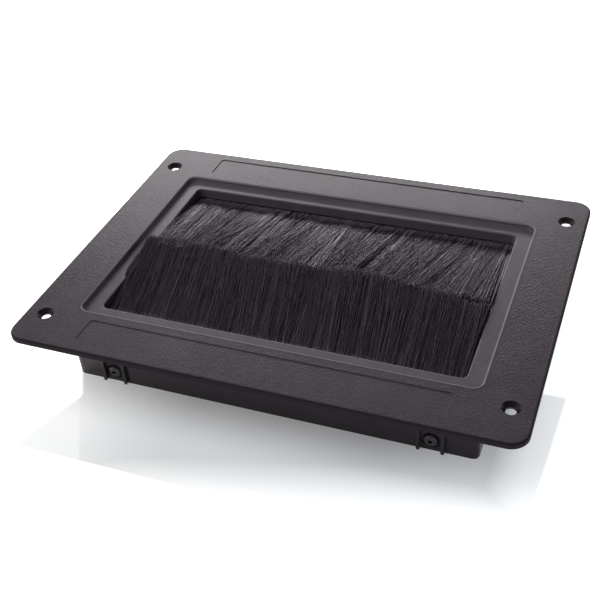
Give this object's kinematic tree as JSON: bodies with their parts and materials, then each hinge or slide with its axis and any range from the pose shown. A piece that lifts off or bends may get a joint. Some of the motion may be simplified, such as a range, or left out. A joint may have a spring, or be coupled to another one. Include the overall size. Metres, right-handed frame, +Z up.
{
  "type": "raised floor brush grommet",
  "caption": "Moulded rectangular floor-tile frame with a stepped opening, closed by opposed strip brushes that overlap so that cables pass through while the air stays under the floor.",
  "frame": {"origin": "centre of the footprint, level with the bottom of the skirt", "axes": "+X along the long sides, +Z up out of the floor"},
  "size_m": [0.29, 0.215, 0.0413],
  "materials": {
    "frame_plastic": "black moulded plastic with a fine leather-like grain",
    "holder_aluminium": "mill-finish extrusion",
    "channel_steel": "galvanised",
    "filament_nylon": "black crimped filament",
    "screw_black": "black oxide"
  },
  "bodies": {
    "root": {"frame": "frame_plastic", "front_brush_holder": "holder_aluminium", "rear_brush_holder": "holder_aluminium", "front_brush_channel": "channel_steel", "rear_brush_channel": "channel_steel", "front_core_wire": "channel_steel", "rear_core_wire": "channel_steel", "front_bristles": "filament_nylon", "rear_bristles": "filament_nylon", "brush_screws": "screw_black"}
  },
  "joints": []
}
